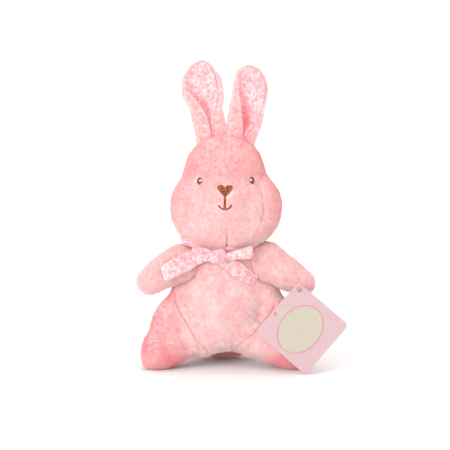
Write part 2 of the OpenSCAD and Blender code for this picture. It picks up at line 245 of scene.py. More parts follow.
def skin(field, low, high, step):
    """A quad mesh on the field's surface. A column of points lies on x = 0 where the box spans it."""
    low = np.array(low, float)
    low[0] = (math.floor(low[0] / step) + 0.5) * step
    counts = np.ceil((np.array(high) - low) / step).astype(int) + 1
    axes = [low[i] + step * np.arange(counts[i]) for i in range(3)]
    grid = np.stack(np.meshgrid(*axes, indexing="ij"), -1).reshape(-1, 3)
    inside = (field(grid) < 0).reshape(counts)
    full = sum(inside[i:counts[0] - 1 + i, j:counts[1] - 1 + j, k:counts[2] - 1 + k].astype(int)
               for i, j, k in np.ndindex(2, 2, 2))
    cells = np.argwhere((full > 0) & (full < 8))
    number = np.full(full.shape, -1)
    number[tuple(cells.T)] = np.arange(len(cells))
    faces = []
    for axis in range(3):
        u, v = (axis + 1) % 3, (axis + 2) % 3
        a = np.moveaxis(inside, axis, 0)
        crossing = np.moveaxis(a[:-1] != a[1:], 0, axis)
        at = np.argwhere(crossing)
        at = at[(at[:, u] > 0) & (at[:, v] > 0)]
        at = at[(at[:, u] < full.shape[u]) & (at[:, v] < full.shape[v])]
        du, dv = np.eye(3, dtype=int)[u], np.eye(3, dtype=int)[v]
        corners = ((1, 1), (0, 1), (0, 0), (1, 0))
        quad = np.stack([number[tuple((at - s * du - t * dv).T)] for s, t in corners], 1)
        out = inside[tuple(at.T)]
        faces.append(np.where(out[:, None], quad, quad[:, ::-1]))
    faces = np.concatenate(faces)
    faces = faces[(faces >= 0).all(axis=1)]
    points = low + (cells + 0.5) * step
    middle = np.abs(points[:, 0]) < step * 0.01
    for _ in range(SKIN_ROUNDS):
        points = relaxed(settle(field, points, 1), faces)
        points[middle, 0] = 0
    return settle(field, points, 2), faces, middle


RELAX = 0.6


def summed(index, values, count):
    """The sum of the vectors that fall to each index."""
    return np.stack([np.bincount(index, values[:, i], count) for i in range(3)], 1)


def relaxed(points, faces):
    """Each point moved towards the middle of its neighbours."""
    a = faces.ravel()
    b = np.roll(faces, 1, axis=1).ravel()
    both, other = np.concatenate([a, b]), np.concatenate([b, a])
    n = np.bincount(both, minlength=len(points))
    total = summed(both, points[other], len(points))
    return points * (1 - RELAX) + RELAX * total / np.maximum(n, 1)[:, None]


def normals_of(points, faces):
    """The normal at each point of a quad mesh."""
    a, b, c, d = (points[faces[:, i]] for i in range(4))
    n = np.cross(c - a, d - b)
    total = sum(summed(faces[:, k], n, len(points)) for k in range(4))
    return total / np.maximum(lengths(total), 1e-9)[:, None]


def smooth_line(keys, count):
    """A smooth run of count points through the keys."""
    keys = np.array(keys, float)
    ends = np.vstack([2 * keys[0] - keys[1], keys, 2 * keys[-1] - keys[-2]])
    u = np.linspace(0, len(keys) - 1, count)
    k = np.minimum(u.astype(int), len(keys) - 2)
    t = (u - k)[:, None]
    a, b, c, d = (ends[k + i] for i in range(4))
    return (2 * b + (c - a) * t + (2 * a - 5 * b + 4 * c - d) * t ** 2
            + (3 * b - a - 3 * c + d) * t ** 3) / 2


def distance_to(points, line):
    """The distance from each point to a line of points, and how far along it the nearest is."""
    best = np.full(len(points), 1e9)
    along = np.zeros(len(points))
    run = np.concatenate([[0], np.cumsum(lengths(np.diff(line, axis=0)))])
    for i in range(len(line) - 1):
        a, d = line[i], line[i + 1] - line[i]
        t = unit((points - a) @ d / max(d @ d, 1e-9))
        gap = lengths(points - a - t[:, None] * d)
        closer = gap < best
        best[closer] = gap[closer]
        along[closer] = (run[i] + t * (run[i + 1] - run[i]))[closer]
    return best, along / run[-1]


SEAM_WAVER = 0.35


def seam(points, normals, keys, depth, width, across=(0, 2), side=-1, fade=0.12):
    """How deep a sewn seam pulls each point in. Its keys are seen along the axis left out of across,
    and only the surface that faces that axis's given side is sewn."""
    line = smooth_line(keys, 24)
    gap, along = distance_to(points[:, list(across)], line)
    ends = unit(np.minimum(along, 1 - along) / fade)
    pull = depth * ends * hump(gap, 0, width)
    pull *= 1 + SEAM_WAVER * noise(points, 4.5, 3)
    missing = ({0, 1, 2} - set(across)).pop()
    facing = normals[:, missing] * side
    return pull * unit(facing * 3 + 0.6)


def dimple(points, centre, depth, width):
    """How deep a pinch pulls each point in."""
    return depth * hump(lengths(points - np.array(centre, float)), 0, width)


NAP_SEED = 7
COMBED = [1, 1, 0.6]


def nap(points, amount):
    """The uneven lie of the pile, and the gentle lumps of the stuffing under it."""
    lumps = 0.55 * noise(points, 15, NAP_SEED) + 0.28 * noise(points, 7.5, NAP_SEED + 1)
    tufts = 0.08 * noise(points, 2.6, NAP_SEED + 2) + 0.07 * noise(points * COMBED, 1.4, NAP_SEED + 3)
    return amount * (lumps + tufts)


# ---- materials

def linear(code):
    """A colour code such as #FFEEDD as linear red, green, blue and alpha."""
    c = np.array([int(code[i:i + 2], 16) / 255 for i in (1, 3, 5)])
    return (*np.where(c <= 0.04045, c / 12.92, ((c + 0.055) / 1.055) ** 2.4), 1)


# The mesh value through which shade is painted into seams, folds and creases
PAINTED_SHADE = "deep"


class Nodes:
    """A material being made: short calls that add and join its nodes."""

    def __init__(self, name, **settings):
        self.material = bpy.data.materials.new(name)
        self.material.use_nodes = True
        self.tree = self.material.node_tree
        self.shader = self.tree.nodes["Principled BSDF"]
        for socket, value in settings.items():
            self.shader.inputs[socket.replace("_", " ")].default_value = value
        self.place = self.add("ShaderNodeTexCoord").outputs["Object"]

    def add(self, kind, **settings):
        node = self.tree.nodes.new(kind)
        for name, value in settings.items():
            setattr(node, name, value)
        return node

    def join(self, source, socket):
        self.tree.links.new(source, socket)

    def stretched(self, scale, turn=(0, 0, 0)):
        node = self.add("ShaderNodeMapping")
        node.inputs["Scale"].default_value = scale
        node.inputs["Rotation"].default_value = turn
        self.join(self.place, node.inputs["Vector"])
        return node.outputs["Vector"]

    def noise(self, size, detail=2.0, vector=None, distortion=0.0, rough=0.5):
        """Noise whose bumps are size millimetres apart."""
        node = self.add("ShaderNodeTexNoise")
        self.join(vector or self.place, node.inputs["Vector"])
        node.inputs["Scale"].default_value = 1 / (size * MM)
        node.inputs["Detail"].default_value = detail
        node.inputs["Roughness"].default_value = rough
        node.inputs["Distortion"].default_value = distortion
        return node.outputs["Fac"]

    def ramp(self, value, stops, smooth="LINEAR"):
        node = self.add("ShaderNodeValToRGB")
        node.color_ramp.interpolation = smooth
        marks = node.color_ramp.elements
        while len(marks) < len(stops):
            marks.new(0.5)
        for mark, (at, colour) in zip(marks, stops):
            mark.position = at
            mark.color = linear(colour) if isinstance(colour, str) else (colour, colour, colour, 1)
        self.join(value, node.inputs["Fac"])
        return node.outputs["Color"]

    def mix(self, share, a, b, blend="MIX"):
        """Blends a and b, each a colour code or a node's output."""
        node = self.add("ShaderNodeMix", data_type="RGBA", blend_type=blend)
        for value, socket in ((share, 0), (a, 6), (b, 7)):
            if isinstance(value, float):
                node.inputs[socket].default_value = value
            elif isinstance(value, str):
                node.inputs[socket].default_value = linear(value)
            else:
                self.join(value, node.inputs[socket])
        return node.outputs[2]

    def bump(self, height, strength, depth):
        """Adds relief of a depth in millimetres to what is there already."""
        node = self.add("ShaderNodeBump")
        node.inputs["Strength"].default_value = strength
        node.inputs["Distance"].default_value = depth * MM
        self.join(height, node.inputs["Height"])
        normal = self.shader.inputs["Normal"]
        if normal.is_linked:
            self.join(normal.links[0].from_socket, node.inputs["Normal"])
        self.join(node.outputs["Normal"], normal)

    def with_painted_shade(self, tone, deep):
        """The tone, giving way to a deeper colour of painted shade where the mesh carries a deep value."""
        share = self.add("ShaderNodeAttribute", attribute_name=PAINTED_SHADE).outputs["Fac"]
        return self.mix(share, tone, deep)

    def away(self, centre, near, far):
        """0 within near millimetres of centre, 1 from far on."""
        gap = self.add("ShaderNodeVectorMath", operation="DISTANCE")
        self.join(self.place, gap.inputs[0])
        gap.inputs[1].default_value = place([centre])[0].tolist()
        span = self.add("ShaderNodeMapRange", interpolation_type="SMOOTHSTEP")
        self.join(gap.outputs["Value"], span.inputs["Value"])
        span.inputs["From Min"].default_value = near * MM
        span.inputs["From Max"].default_value = far * MM
        return span.outputs["Result"]

    def colour(self, source):
        self.join(source, self.shader.inputs["Base Color"])
        return self.material


def plush_material(name, pale, middle, deep, fold_shade):
    """A plush cover: pale to deep in streaks and patches, and a coral painted as shade in seams, folds and
    creases.
    """
    m = Nodes(name, Roughness=0.92, Sheen_Weight=0.25, Sheen_Roughness=0.45,
              Sheen_Tint=linear("#FFE6E4"), Specular_IOR_Level=0.15)
    brushed = m.stretched((1, 1, 0.42), (0.5, 0.25, 0.1))
    patches = m.noise(13, 3, distortion=0.6)
    streaks = m.noise(2.4, 4, brushed, 0.8, 0.62)
    fibres = m.noise(0.7, 3, brushed, 0.3, 0.7)
    broad = m.ramp(patches, [(0.36, deep), (0.5, middle), (0.66, pale)], "EASE")
    fine = m.ramp(streaks, [(0.34, deep), (0.52, middle), (0.7, pale)])
    tone = m.mix(0.62, broad, fine)
    speck = m.ramp(fibres, [(0.3, 0.85), (0.62, 1.0)])
    m.bump(streaks, 0.5, 0.7)
    m.bump(fibres, 0.6, 0.35)
    return m.colour(m.with_painted_shade(m.mix(0.5, tone, speck, "MULTIPLY"), fold_shade))


def pile_material(name, pale, shade_rosy, centre, near, far):
    """Standing pile, pale round a centre and rosier farther off as painted shade, broken by random patches.
    """
    m = Nodes(name, Roughness=0.85, Sheen_Weight=0.2, Sheen_Tint=linear("#FFF2F0"),
              Specular_IOR_Level=0.15)
    brushed = m.stretched((1, 1, 0.45), (0.4, 0.2, 0.1))
    speck = m.ramp(m.noise(1.2, 3, brushed, 0.4, 0.6), [(0.38, "#FFEAE9"), (0.58, "#FFFFFF")])
    patch = m.ramp(m.noise(16, 2, distortion=0.5), [(0.35, 0.0), (0.68, 1.0)])
    shade_and_patch = m.mix(0.35, m.away(centre, near, far), patch)
    return m.colour(m.mix(1.0, m.mix(shade_and_patch, pale, shade_rosy), speck, "MULTIPLY"))


PRINT_WHITE = "#E6CFCD"
PRINT_PINK = "#F9A2AC"
# Painted shade for the printed cotton's folds
PRINT_FOLD_SHADE = "#F06E7B"


def print_material(name, stops):
    """Cotton with pink petals and curls, parted by white that opens and closes at the stops, and a coral
    painted as shade in its folds.
    """
    m = Nodes(name, Roughness=0.8, Sheen_Weight=0.12, Specular_IOR_Level=0.25)
    warped = m.add("ShaderNodeMix", data_type="VECTOR")
    twist = m.add("ShaderNodeTexNoise")
    m.join(m.place, twist.inputs["Vector"])
    twist.inputs["Scale"].default_value = 1 / (3.5 * MM)
    m.join(m.place, warped.inputs[4])
    m.join(twist.outputs["Color"], warped.inputs[5])
    warped.inputs[0].default_value = 0.005
    lines = warped.outputs[1]
    petals = m.ramp(m.noise(5.2, 0.6, lines), list(zip(stops, (1.0, 0.0, 0.0, 1.0))))
    curls = m.ramp(m.noise(2.3, 0.5, lines), [(0.52, 1.0), (0.55, 0.1), (0.61, 0.1), (0.64, 1.0)])
    ink = m.mix(1.0, petals, curls, "MULTIPLY")
    m.bump(m.noise(0.32, 2), 0.35, 0.15)
    return m.colour(m.with_painted_shade(m.mix(ink, PRINT_WHITE, PRINT_PINK), PRINT_FOLD_SHADE))


def thread_material(name, dark, light):
    m = Nodes(name, Roughness=0.45, Sheen_Weight=0.2, Specular_IOR_Level=0.5)
    twist = m.noise(1.3, 4, m.stretched((1, 1, 0.6)), rough=0.6)
    m.bump(twist, 0.5, 0.12)
    return m.colour(m.ramp(twist, [(0.38, dark), (0.6, light)]))


def card_material(name, base, deep):
    m = Nodes(name, Roughness=0.55, Specular_IOR_Level=0.4)
    grain = m.noise(0.8, 4)
    m.bump(grain, 0.12, 0.05)
    return m.colour(m.ramp(grain, [(0.3, deep), (0.65, base)]))


def wire_material():
    m = Nodes("clear_nylon", Roughness=0.25, Transmission_Weight=0.75, IOR=1.4)
    return m.colour(m.ramp(m.noise(1.2, 2), [(0.3, "#F1CDD0"), (0.7, "#FAE2E3")]))


def fibre_material():
    m = Nodes("polyester_fibre", Roughness=0.9, Sheen_Weight=0.3)
    tufts = m.noise(2, 5, distortion=1)
    m.bump(tufts, 0.8, 0.8)
    return m.colour(m.ramp(tufts, [(0.3, "#DADADA"), (0.7, "#FFFFFF")]))


PILE = pile_material("pink_pile", "#FFF6F4", "#FFE4E2", (0, 0, 0), 0, 1)
# The head and body piles are pale round the front of the chin and of the belly, and rosier farther off as
# painted shade
HEAD_PILE = pile_material("pink_head_pile", "#FFF2F0", "#FFC0C1", (2, -24, 100), 26, 66)
BODY_PILE = pile_material("pink_body_pile", "#FFFBF9", "#FFADB3", (4, -32, 43), 33, 58)
# The last colour is painted shade for the plush's seams, folds and creases
PLUSH = plush_material("pink_plush", "#FFDAD9", "#FFCBCB", "#FDB2B6", "#EE6F79")
PRINT = print_material("printed_cotton", (0.42, 0.455, 0.505, 0.535))
PRINT_OPEN = print_material("printed_cotton_open", (0.39, 0.425, 0.53, 0.57))
THREAD = thread_material("brown_thread", "#4E1D04", "#BE6320")
EYE_THREAD = thread_material("dark_brown_thread", "#321103", "#9A4D1A")
GLINT = thread_material("white_thread", "#E6E2DE", "#FFFFFF")
CARD = card_material("pink_card", "#CFAFB2", "#C8A7AB")
CREAM = card_material("cream_print", "#C4BAAA", "#BCB2A3")
LEAF = card_material("leaf_print", "#C9C2AD", "#C0B8A2")
CORAL = card_material("coral_print", "#E08590", "#D4737E")
WIRE = wire_material()
FIBRE = fibre_material()


# ---- pieces

# The bunny's own sides, and which way each lies along x
SIDES = {"left": 1, "right": -1}

# Hairs on each square millimetre, how many share one guide, and how they stand, lean and stray
PILE_DENSITY = 11.0
PILE_CHILDREN = 30
PILE_STAND = 0.25
PILE_LEAN = 0.2
PILE_STRAY = 0.12
PILE_THICK = 0.1


def paint_shade(piece, values):
    """How much painted shade each point of a piece carries, as the mesh's deep value."""
    layer = piece.data.attributes.new(PAINTED_SHADE, "FLOAT", "POINT")
    layer.data.foreach_set("value", unit(values).astype(np.float32))


def grow_pile(piece, bare=None, lie=(0, 0, -1), seed=1, material=PILE):
    """Short plush pile on a cover, combed along lie. bare is how bald each point of the mesh is."""
    area = sum(p.area for p in piece.data.polygons) / MM ** 2
    piece.modifiers.new("pile", "PARTICLE_SYSTEM")
    system = piece.particle_systems[-1]
    system.seed = seed
    if bare is not None:
        group = piece.vertex_groups.new(name="pile_density")
        for index, share in enumerate(1 - bare):
            group.add([index], float(share), "REPLACE")
        system.vertex_group_density = group.name
    piece.data.materials.append(material)
    pile = system.settings
    pile.type = "HAIR"
    pile.material = 2
    pile.count = int(area * PILE_DENSITY / PILE_CHILDREN)
    pile.use_advanced_hair = True
    pile.hair_step = 3
    pile.render_step = 2
    pile.normal_factor = PILE_STAND * MM
    pile.object_align_factor = [v * PILE_LEAN * MM for v in lie]
    pile.factor_random = PILE_STRAY * MM
    pile.use_emit_random = True
    pile.child_type = "INTERPOLATED"
    pile.rendered_child_count = PILE_CHILDREN
    pile.child_percent = 0
    pile.roughness_2 = 0.25 * MM
    pile.roughness_2_size = 0.4
    pile.roughness_endpoint = 0.3 * MM
    pile.root_radius = 1
    pile.tip_radius = 0.3
    pile.radius_scale = PILE_THICK * MM
    pile.shape = 0


def smooth_mesh(name, points, faces, material):
    """A mesh from points in metres, and faces as rows or as lists."""
    mesh = bpy.data.meshes.new(name)
    mesh.from_pydata(points.tolist(), [], faces.tolist() if isinstance(faces, np.ndarray) else faces)
    mesh.polygons.foreach_set("use_smooth", [True] * len(mesh.polygons))
    mesh.materials.append(material)
    mesh.update()
    return mesh


def add_piece(name, points, faces, material, slot, soft_normals=None):
    """A piece of the visual model from points in millimetres."""
    piece = added(smooth_mesh(name, place(points), faces, material))
    if soft_normals is not None:
        piece.data.normals_split_custom_set_from_vertices(soft_normals.tolist())
    return piece


def kept(points, faces, which, extra):
    """Only the chosen faces, their points and the extra values those points carry."""
    faces = faces[which]
    used = np.unique(faces)
    number = np.full(len(points), -1)
    number[used] = np.arange(len(used))
    return points[used], number[faces], extra[used]


# Head: a round crown over two full cheeks, with a soft muzzle and chin
HEAD_BLOBS = [
    blob((-0.5, 1, 149), (30.8, 30, 29.5)), blob((0, 2, 161), (25.7, 25, 17.8)),
    blob((18.9, -3, 124.8), (24.9, 27.5, 27.5)), blob((-17.7, -3, 124.8), (24.6, 27.5, 27.9)),
    blob((0, -13, 127), (22, 25, 23)), blob((1, -9, 109), (31, 26.5, 18)),
]
HEAD = stuffing(HEAD_BLOBS, 2.4)
FOREHEAD_SEAM = [(2.2, 184), (1.6, 176), (0.4, 168), (-0.2, 158)]
CHIN_SEAM = [(1.4, 113), (1.5, 106), (1.4, 99), (1, 90)]
CHEEK_SEAM_LEFT = [(32.5, 153), (27.6, 148), (26.4, 143), (29, 137), (30, 130), (30, 122), (27, 112)]
CHEEK_SEAM_RIGHT = [(-32.5, 152), (-28.5, 147), (-26, 142), (-28.5, 134), (-30, 126), (-29, 116)]
HEAD_BACK_SEAM = [(0, 184), (0, 150), (0, 120), (0, 100)]
SIDE_SEAM = [(4, 182), (12, 160), (14, 140), (10, 120), (4, 104)]
EYES = {"left": (20.9, 147.4), "right": (-19.8, 147.1)}
NOSE_CENTRE = (0.0, 140.6)
NOSE_HALF = (6.0, 4.1)
STEM = ((-0.1, 137), (-0.2, 127))
SMILE = [(-5.1, 129.6), (-3.4, 127.7), (-0.1, 126.4), (3.4, 127.7), (5.1, 129.8)]
CROWN_DIMPLE = (2.3, -12, 178)


def head_points():
    """The head's points and faces, and how deep its seams pull each point."""
    p, faces, _ = skin(HEAD, (-52, -52, 84), (52, 46, 190), 0.85)
    n = outward(HEAD, p)
    pull = seam(p, n, FOREHEAD_SEAM, 0.7, 1.3) + seam(p, n, CHIN_SEAM, 1.6, 0.95, fade=0.08)
    pull += seam(p, n, CHEEK_SEAM_LEFT, 0.6, 1.0) + seam(p, n, CHEEK_SEAM_RIGHT, 0.4, 1.2)
    folds = seam(p, n, CHEEK_SEAM_LEFT, 1.0, 3.6) + seam(p, n, CHEEK_SEAM_RIGHT, 0.5, 3.6)
    pull += seam(p, n, HEAD_BACK_SEAM, 0.9, 1.1, side=1)
    for side in (-1, 1):
        pull += seam(p, n, SIDE_SEAM, 0.9, 1.3, across=(1, 2), side=side)
    for x, z in EYES.values():
        pull += dimple(p, (x, front_of(HEAD, x, z), z), 0.9, 4.5)
    pull += dimple(p, CROWN_DIMPLE, 1.2, 3.5)
    return p - n * (pull + folds - nap(p, 0.8))[:, None], faces, pull


def wear_and_shade(pull):
    """How bald a seam or fold leaves the pile, from how deep it pulls; where the pile is bald the deeper
    cover shows, partly as painted shade.
    """
    return np.clip(pull / 1.3, 0, 0.8)


# How far from its middle each part of the embroidery keeps the pile down
EYE_BARE = [3.1, 4.1]
NOSE_BARE = [7.0, 5.7]
STEM_BARE = 2.0
SMILE_BARE = 1.7


def bare_face(points):
    """1 where the embroidery leaves no pile standing, 0 elsewhere."""
    flat = points[:, [0, 2]]
    gaps = [lengths((flat - at) / EYE_BARE) for at in EYES.values()]
    gaps.append(lengths((flat - NOSE_CENTRE) / NOSE_BARE))
    for line, width in ((STEM, STEM_BARE), (SMILE, SMILE_BARE)):
        gaps.append(distance_to(flat, np.array(line, float))[0] / width)
    near = unit((1.15 - np.min(gaps, axis=0)) / 0.25)
    return np.where(points[:, 1] < 0, near, 0)


def make_head():
    points, faces, pull = head_points()
    head = add_piece("head_cover", points, faces, PLUSH, "plush")
    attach(head, "head")
    grow_pile(head, np.maximum(bare_face(points), wear_and_shade(pull)), material=HEAD_PILE)
    # Painted shade in the seams and dimples, strongest below the eyes
    paint_shade(head, pull / 1.5 * np.clip((152 - points[:, 2]) / 20, 0.1, 1))
    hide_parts("face_panel_left", "face_panel_right", "cheek_panel_left", "cheek_panel_right",
                "head_back_panel", "head_filling", "ear_seam_left", "ear_seam_right")


# Body: a pear-shaped belly on a seat, running out into two short legs
LEG_BLOBS = [
    blob((40.7, -9, 34), (16, 18, 23), roll=-22), blob((50.4, -19.5, 15.5), (13.4, 16, 15.5)),
    blob((41, -18, 17), (15, 15, 13)), blob((29, -12, 21.6), (14, 14, 12)),
    blob((55.6, -21.5, 8.5), (7.5, 11, 8.5)), blob((32, -4, 54.5), (10.4, 15, 12)),
]
TORSO_BLOBS = [
    blob((0, -1, 51), (36, 29, 33)), blob((0, 3, 41), (36.5, 27, 29.5)),
    blob((0, 23, 18.5), (27, 16, 17)), blob((0, 14, 34), (31, 23, 23)),
    blob((3, -11, 30), (33, 13.5, 15.5)),
    blob((-18, -11, 22.6), (16, 13, 13.5)), blob((22, -11, 22.5), (16, 13, 13.5)),
    blob((0, 0, 76), (27.5, 25, 27)), blob((-1, 0, 93), (26, 22, 18)),
]
BODY = on_floor(stuffing(TORSO_BLOBS + LEG_BLOBS + mirrored(LEG_BLOBS), 2.2), 0.5)
BELLY_SEAM = [(-38, 61), (-39.2, 54), (-30, 36.5), (-19.6, 20.6), (-11.5, 12), (-7, 8)]
BELLY_SEAM_LEFT = [(40, 56), (36.5, 46), (24.3, 30.6), (15.2, 22.3), (5.4, 13.6), (1, 9.5)]
HIP_CREASE = [(-44, 45), (-38, 35), (-34.5, 28.5), (-30, 20), (-27.2, 13)]
HIP_CREASE_LEFT = [(40, 44), (31, 33), (23.9, 25.5), (18, 16), (16, 11)]
FOOT_FOLD = [(-26, 28), (-22, 21), (-19, 14)]
CENTRE_SEAM = [(0.2, 24), (0.6, 18), (0.9, 11)]
BODY_BACK_SEAM = [(0, 96), (0, 60), (0, 30), (0, 12)]


# Arms: stubby and flat, sewn on at the shoulder
ARMS = {
    "left": stuffing([
        blob((31.5, -7, 81.5), (15, 13, 16), roll=25), blob((46, -9, 73.9), (18, 13, 12.6), roll=33),
        blob((60.3, -12, 66.1), (9.2, 10, 9.2)), blob((22, -3, 83), (10, 10, 11))], 2.2),
    "right": stuffing([
        blob((-34, -7, 80.2), (16, 13, 15), roll=-25), blob((-46.2, -9, 74.9), (18, 13, 12.3), roll=-32),
        blob((-58.3, -12, 67.2), (9.8, 10, 9.6)), blob((-22, -3, 83), (10, 10, 11))], 2.2),
}
ARM_EDGE = [(24, 98), (45, 92), (62, 78), (69, 68), (60, 59)]


def body_points():
    """The body's points and faces, and how bald its seams, hip folds and the creases under the arms leave
    each point, a share that is also painted as shade.
    """
    p, faces, middle = skin(BODY, (-76, -46, -3), (76, 46, 118), 0.9)
    n = outward(BODY, p)
    pull = seam(p, n, BELLY_SEAM, 1.2, 0.75) + seam(p, n, BELLY_SEAM_LEFT, 1.2, 0.75)
    pull += seam(p, n, CENTRE_SEAM, 0.7, 0.6)
    folds = seam(p, n, HIP_CREASE, 2.4, 3.4) + seam(p, n, HIP_CREASE_LEFT, 1.4, 2.8)
    folds += seam(p, n, FOOT_FOLD, 1.2, 1.4)
    pull += seam(p, n, BODY_BACK_SEAM, 0.9, 1.1, side=1)
    move = nap(p, 0.8) - pull - folds
    move *= np.clip((p[:, 2] - 0.6) / 3, 0.15, 1)
    points = p + n * move[:, None]
    points[middle, 0] = 0
    points[:, 2] = np.maximum(points[:, 2], 0.3)
    # Thinner pile and painted shade in the crease where each arm lies on the body
    for arm in ARMS.values():
        pull += 1.1 * hump(arm(p), 0, 0.9)
    return points, faces, wear_and_shade(pull + 0.18 * folds)


def make_body():
    points, faces, bare = body_points()
    normals = normals_of(points, faces)
    centre = points[faces].mean(axis=1)[:, 0]
    for side, sign in SIDES.items():
        half = centre * sign > 0
        part, part_faces, extra = kept(points, faces, half, np.column_stack([normals, bare]))
        cover = add_piece(f"body_cover_{side}", part, part_faces, PLUSH, "plush", extra[:, :3])
        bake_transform(cover)
        grow_pile(cover, extra[:, 3], seed=3, material=BODY_PILE)
        # Painted shade in the seams, hip folds and arm creases
        paint_shade(cover, 0.8 * extra[:, 3])
        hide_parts(f"side_panel_{side}", f"leg_front_{side}", f"leg_back_{side}",
                    f"leg_filling_{side}", f"hip_seam_{side}", "belly_panel", "back_panel",
                    "seat_panel", "body_filling", "bean_bag")


def make_arm(side, sign):
    field = ARMS[side]
    low, high = sorted((8 * sign, 78 * sign))
    p, faces, _ = skin(field, (low, -30, 50), (high, 14, 108), 0.9)
    n = outward(field, p)
    edge = [(x * sign, z) for x, z in ARM_EDGE]
    # The rim where the arm turns from front to back, and its edge seam: pulled in, with thinner pile and
    # painted shade
    pull = hump(n[:, 1], -0.12, 0.1) * 0.6 + seam(p, n, edge, 0.2, 2)
    arm = add_piece(f"arm_{side}_cover", p + n * (nap(p, 0.7) - pull)[:, None], faces, PLUSH, "plush")
    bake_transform(arm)
    grow_pile(arm, wear_and_shade(pull), lie=(sign * 0.8, 0, -0.6), seed=5)
    paint_shade(arm, pull / 1.6)
    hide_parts(f"arm_front_{side}", f"arm_back_{side}", f"arm_filling_{side}",
                f"shoulder_seam_{side}")


# Ears: sections from the root to the tip, each its height, its outer edges and its opening's edges.
# The openings were read from enlarged views of the photograph. The outer edges were set by hand too,
# partly from widths that a measuring script printed every few rows of its outline.
EARS = {
    "right": [
        (172, -22.6, 1.2, -9.2, -8.9), (181.6, -23.6, 1.4, -9.4, -9.0), (187.7, -24.8, 1.0, -10.6, -10),
        (194.7, -26.7, -0.1, -12.4, -10), (200.8, -27.5, -2.4, -15, -8.9), (206.8, -32.2, -1.2, -19.6, -6.8),
        (211.9, -33.6, -0.8, -24.2, -6.6), (215.9, -33.9, -1, -28.3, -6.5),
        (222, -33.8, -2.3, -28.7, -7.5), (227, -32.2, -3.9, -27.8, -8.6),
        (231.1, -29, -8, -26.8, -10), (234.6, -26.3, -10.4, -25, -12),
        (236.8, -23.4, -12.9, -22.3, -14.2), (237.9, -20.8, -15.3, -20, -16.2),
        (238.3, -18.4, -17.7, -18.3, -17.8),
    ],
    "left": [
        (172, 1.9, 22.6, 15.2, 15.6), (180.6, 1.9, 25.9, 15.3, 15.9), (183.6, 1.7, 27, 15.3, 18),
        (187.7, 1.5, 28.5, 15.4, 21.3), (191.7, 1.6, 29.6, 15.6, 24.7), (196.7, 2, 30.6, 14.6, 26.1),
        (203.8, 3.7, 31.4, 14.1, 28.4), (208.9, 4.9, 33, 13.6, 29.7), (213.9, 5.7, 33.8, 12.8, 30.6),
        (218, 6.3, 33.8, 12.8, 30.8), (223, 7, 32.3, 12.9, 30.8), (227, 7.9, 30.6, 13.1, 29),
        (231.1, 10.2, 27.6, 13.8, 26.6), (233.5, 14, 23.4, 15.5, 22.6), (234.4, 17.6, 20, 17.8, 19.9),
    ],
}
EAR_ROWS = 80
EAR_AROUND = 88
EDGE_ROUNDS = 10
PILE_ROOM = 0.5
EAR_Y = 5.0
EAR_THICK = 3.2
TROUGH = 2.6
EAR_ROOT = 181
EAR_ROOT_ROW = 10


def edge_step(x, at, width):
    """0 before a place and 1 after it, turning over a width."""
    return 1 / (1 + np.exp(-np.clip((x - at) / width, -40, 40)))


def ear_sections(side):
    """An ear's sections with their edges smoothed, and pulled in to leave the pile room."""
    rows = smooth_line(EARS[side], EAR_ROWS)
    rows[:, 0] = np.maximum.accumulate(rows[:, 0])
    for _ in range(EDGE_ROUNDS):
        rows[1:-1, 1:] = (rows[:-2, 1:] + 2 * rows[1:-1, 1:] + rows[2:, 1:]) / 4
    slim = np.minimum(PILE_ROOM, (rows[:, 2] - rows[:, 1]) * 0.2)
    rows[:, 0] -= slim
    rows[:, 1] += slim
    rows[:, 2] -= slim
    return rows


def ear_front(rows, x):
    """How far forward of the ear's middle plane its front is, with the hollow that holds the lining."""
    z, left, right, open_left, open_right = (rows[:, i:i + 1] for i in range(5))
    across = np.clip((x - (left + right) / 2) / np.maximum((right - left) / 2, 0.1), -1, 1)
    crown = EAR_THICK * np.sqrt(np.maximum(1 - across ** 2, 0)) ** 0.7
    rise = unit((z - 178) / 12)
    near_tip = np.clip((np.max(z) - z) / 14, 0.12, 1)
    low = unit((222 - z) / 25)
    sunk = unit((x - open_left) / np.maximum(open_right - open_left, 0.8))
    hollow = edge_step(x, open_left, 0.35 + 0.9 * (1 - low)) * edge_step(-x, -open_right, 0.9)
    room = np.clip((open_right - open_left) / 9, 0.3, 1)
    floor = 0.45 + 0.55 * np.cos(sunk * 1.4)
    depth = (TROUGH + 2.4 * low * (1 - sunk)) * near_tip * floor * room + 0.3
    rolled = (0.7 + 1.5 * low) * hump(x - open_left, -1.9, 2.1) * near_tip
    return crown + rolled * rise - hollow * rise * depth


def ear_curl(across, z):
    """How far forward an ear's edges curl. across is -1 and 1 at the edges."""
    return 2.2 * across ** 2 * unit((z - 184) / 20)


